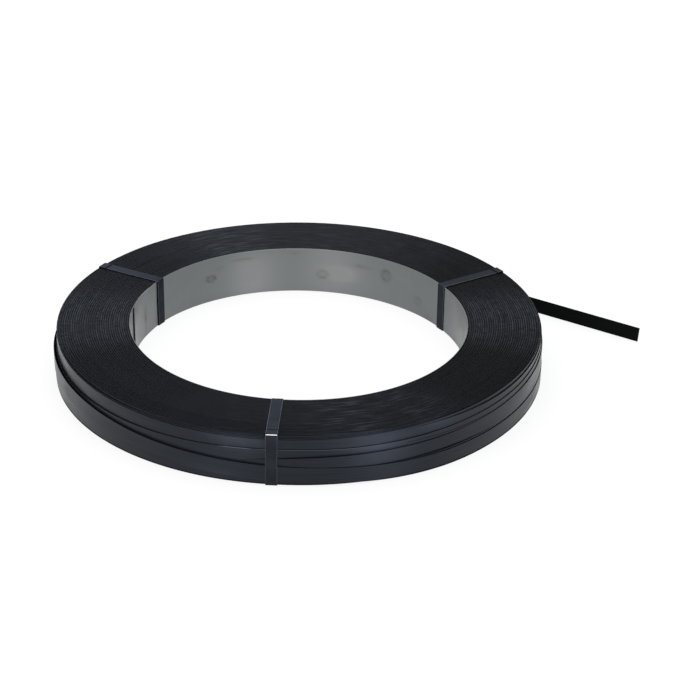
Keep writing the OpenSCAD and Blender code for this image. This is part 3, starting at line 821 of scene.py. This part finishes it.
# Oxide clouds 18 mm across, and fine unevenness 1 mm across.
oxide = add(tree, "ShaderNodeTexNoise",
            inputs={"Vector": place, "Scale": 55.0, "Detail": 4.0, "Roughness": 0.6})
scratch = add(tree, "ShaderNodeTexNoise", inputs={"Vector": place, "Scale": 900.0, "Detail": 2.0})
oxide_range = add(tree, "ShaderNodeMapRange",
                  inputs={"Value": oxide.outputs[0], "From Min": 0.3, "From Max": 0.7})
skin = add(tree, "ShaderNodeMix", {"data_type": "RGBA"},
           {"Factor": oxide_range.outputs[0], "A": linear("#25272c"), "B": linear("#33363c")})
skin_gloss = add(tree, "ShaderNodeMapRange", inputs={
    "Value": oxide.outputs[0], "From Min": 0.3, "From Max": 0.7, "To Min": 0.38, "To Max": 0.52})
skin_bump = add(tree, "ShaderNodeBump",
                inputs={"Strength": 0.2, "Distance": 0.05 * MM, "Height": scratch.outputs[0]})
shader = add(tree, "ShaderNodeBsdfPrincipled", inputs={
    "Base Color": skin.outputs["Result"], "Metallic": 1.0, "Roughness": skin_gloss.outputs[0],
    "Specular Tint": linear("#c8cace"), "Normal": skin_bump.outputs[0]})
add(tree, "ShaderNodeOutputMaterial", inputs={"Surface": shader.outputs[0]})

# The sharp bend over the top corner, rubbed to bare steel, in a near-white colour that paints the
# bend's highlight.
bend_painted_highlight, tree = new_material("rubbed_bend_painted_highlight")
place = add(tree, "ShaderNodeTexCoord").outputs["Object"]
rubbed = add(tree, "ShaderNodeTexNoise", inputs={"Vector": place, "Scale": 300.0, "Detail": 3.0})
bend_mix = add(tree, "ShaderNodeMix", {"data_type": "RGBA"},
               {"Factor": rubbed.outputs[0], "A": linear("#b9bec6"), "B": linear("#f0f2f5")})
bend_bump = add(tree, "ShaderNodeBump",
                inputs={"Strength": 0.2, "Distance": 0.05 * MM, "Height": rubbed.outputs[0]})
shader = add(tree, "ShaderNodeBsdfPrincipled", inputs={
    "Base Color": bend_mix.outputs["Result"], "Metallic": 1.0, "Roughness": 0.3,
    "Normal": bend_bump.outputs[0]})
add(tree, "ShaderNodeOutputMaterial", inputs={"Surface": shader.outputs[0]})

# The ties' slit edges, rubbed a little.
tie_edge, tree = new_material("rubbed_edge_of_blued_strap")
place = add(tree, "ShaderNodeTexCoord").outputs["Object"]
rubbed = add(tree, "ShaderNodeTexNoise", inputs={"Vector": place, "Scale": 120.0, "Detail": 4.0})
rub_mix = add(tree, "ShaderNodeMix", {"data_type": "RGBA"},
              {"Factor": rubbed.outputs[0], "A": linear("#2b2f36"), "B": linear("#666c75")})
rub_bump = add(tree, "ShaderNodeBump",
               inputs={"Strength": 0.3, "Distance": 0.05 * MM, "Height": rubbed.outputs[0]})
shader = add(tree, "ShaderNodeBsdfPrincipled", inputs={
    "Base Color": rub_mix.outputs["Result"], "Metallic": 1.0, "Roughness": 0.35,
    "Normal": rub_bump.outputs[0]})
add(tree, "ShaderNodeOutputMaterial", inputs={"Surface": shader.outputs[0]})


def bent_outline(corners, distance, bend, steps=5):
    """The corners' outline moved out by a distance, with a round bend at each corner."""
    points, normals = [], []
    count = len(corners)
    ways = [np.array(corners[(i + 1) % count]) - np.array(corners[i]) for i in range(count)]
    ways = [w / np.linalg.norm(w) for w in ways]
    outs = [np.array([w[1], -w[0]]) for w in ways]
    for i in range(count):
        before, after = outs[i - 1], outs[i]
        inset = np.array(corners[i]) + (distance - bend) * (before + after) / (1 + before @ after)
        start = math.atan2(before[1], before[0])
        turn = math.acos(min(1.0, before @ after))
        for k in range(steps + 1):
            a = start + turn * k / steps
            n = np.array([math.cos(a), math.sin(a)])
            points.append(inset + bend * n)
            normals.append(n)
    return np.array(points), np.array(normals)


def tie_strip(points, normals, closed):
    """Sweeps the tie's section, thin at its rubbed edges, along an outline. Flat mesh data."""
    half, thick, edge = TIE_W / 2, TIE_T / 2, TIE_EDGE
    section = [(-half, 0.0), (-half + edge, thick), (half - edge, thick), (half, 0.0),
               (half - edge, -thick), (-half + edge, -thick)]
    verts, faces, edge_faces = [], [], []
    for p, n in zip(points, normals):
        for across, out in section:
            q = p + n * out
            verts.append((q[0], across, q[1]))
    k, count = len(section), len(points)
    for i in range(count if closed else count - 1):
        a, b = i * k, ((i + 1) % count) * k
        for j in range(k):
            faces.append((a + j, b + j, b + (j + 1) % k, a + (j + 1) % k))
            edge_faces.append(j in (0, 2, 3, 5))
    if not closed:
        faces += [tuple(range(k)), tuple(range(count * k - 1, count * k - k - 1, -1))]
        edge_faces += [True, True]
    return verts, faces, edge_faces


# Direction, lean from the radius, how far the lap reaches in over the top and down, and how
# far the tie stands off the ring's sheet in the bore, in degrees and millimetres.
ties = (("tie_front", -96.5, 2.5, 13, 26, 0.1), ("tie_left", 149.0, 1.2, 10, 24, 0.8),
        ("tie_right", 29.0, 2.8, 9, 24, 0.8))
for name, direction, lean, lap_in, lap_down, bore_off in ties:
    around = direction % 360
    turns_here = np.array([
        around + 360 * k for k in range(4) if LEAVES_AT <= around + 360 * k <= STARTS_AT])
    lean_off = eased(stands_off, turns_here.astype(float))
    edges_here = eased(upper_edge, turns_here.astype(float))
    outside = COIL_R + lean_off * MM
    d = math.radians(direction)
    wound = WOUND_RO + OFF_CENTRE[0] * math.cos(d) + OFF_CENTRE[1] * math.sin(d)
    low_r = outside.max()
    ledge = max(e for e, o in zip(edges_here, lean_off) if o > lean_off.max() - LEANED_ON) * MM
    inner = np.linalg.norm(pressed_out_of_round(BORE_R * math.cos(d), BORE_R * math.sin(d)))
    seat = math.sqrt(inner ** 2 - (TIE_W / 2) ** 2) - bore_off * MM
    share = slip_share(direction)
    rim = COIL_H - (SLIP + DISH) * share * MM
    corners = [(seat, 0.0), (low_r, 0.0), (low_r, ledge), (wound, rim)]
    if share > SLOPED_FROM:
        corners += [(wound - SLIPPED_IN, rim + SLIP_STEP * share * MM), (wound - SLOPE_IN, COIL_H)]
    corners.append((seat, COIL_H))
    points, normals = bent_outline(corners, TIE_CLEAR + TIE_T / 2, BEND_R)
    verts, faces, edge_faces = tie_strip(points, normals, True)
    lap_points, lap_normals = bent_outline(corners, TIE_CLEAR + 1.5 * TIE_T, BEND_R + TIE_T)
    keep = (lap_points[:, 0] > wound - (lap_in - LAP_SPARE) * MM) & (lap_points[:, 1] > LAP_FROM)
    lap_points, lap_normals = lap_points[keep], lap_normals[keep]
    low_end = lap_points[0].copy()
    low_end[1] = COIL_H - lap_down * MM
    below = lap_points[:, 1] > low_end[1]
    lap_points, lap_normals = lap_points[below], lap_normals[below]
    low_end[0] = lap_points[0][0]
    # The upper end was sheared off, and its last 1.2 mm is bent and drawn near black: a painted
    # shadow line at the end.
    run_in = np.array([-lap_normals[-1][1], lap_normals[-1][0]])
    sheared = lap_points[-1] + run_in * (lap_points[-1][0] - wound + lap_in * MM - END_SHADOW_LENGTH)
    top_end = sheared + run_in * END_SHADOW_LENGTH
    lap_points = np.vstack([low_end, lap_points, sheared, top_end])
    lap_normals = np.vstack([lap_normals[0], lap_normals, lap_normals[-1], lap_normals[-1]])
    more_verts, more_faces, more_edges = tie_strip(lap_points, lap_normals, False)
    # Materials: 0 the skin, 1 the slit edges, 2 the sheared end, painted dark as a shadow line, 3
    # the bend at the top, with its painted highlight
    looks = [int(e) for e in edge_faces] + [int(e) for e in more_edges]
    spans = len(lap_points) - 1
    last_span = len(edge_faces) + 6 * (spans - 1)
    looks[last_span:] = [2] * (len(looks) - last_span)
    for i in range(spans):
        # The bend at the top is made of short steps that face up; they carry the painted highlight.
        step = np.linalg.norm(lap_points[i + 1] - lap_points[i])
        if share > SLOPED_FROM and lap_normals[i, 1] > 0.8 and step < 1.0 * MM:
            looks[len(edge_faces) + 6 * i + 1] = 3
    faces += [tuple(i + len(verts) for i in face) for face in more_faces]
    verts += more_verts
    mesh = bpy.data.meshes.new(name + "_strap")
    middle_r = (BORE_R + COIL_R) / 2
    s = math.radians(direction + lean)
    placed = [(middle_r * math.cos(d) + (x - middle_r) * math.cos(s) - y * math.sin(s),
               middle_r * math.sin(d) + (x - middle_r) * math.sin(s) + y * math.cos(s), z)
              for x, y, z in verts]
    mesh.from_pydata(placed, [], faces)
    for material in (blued, tie_edge, strap_inside_and_end_shadow, bend_painted_highlight):
        mesh.materials.append(material)
    mesh.polygons.foreach_set("material_index", looks)
    mesh.shade_smooth()
    mesh.set_sharp_from_angle(angle=math.radians(25))
    mesh.update()
    tie = bpy.data.objects.new(name + "_strap", mesh)
    scene.collection.objects.link(tie)
    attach(tie, "root")
    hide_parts(name)
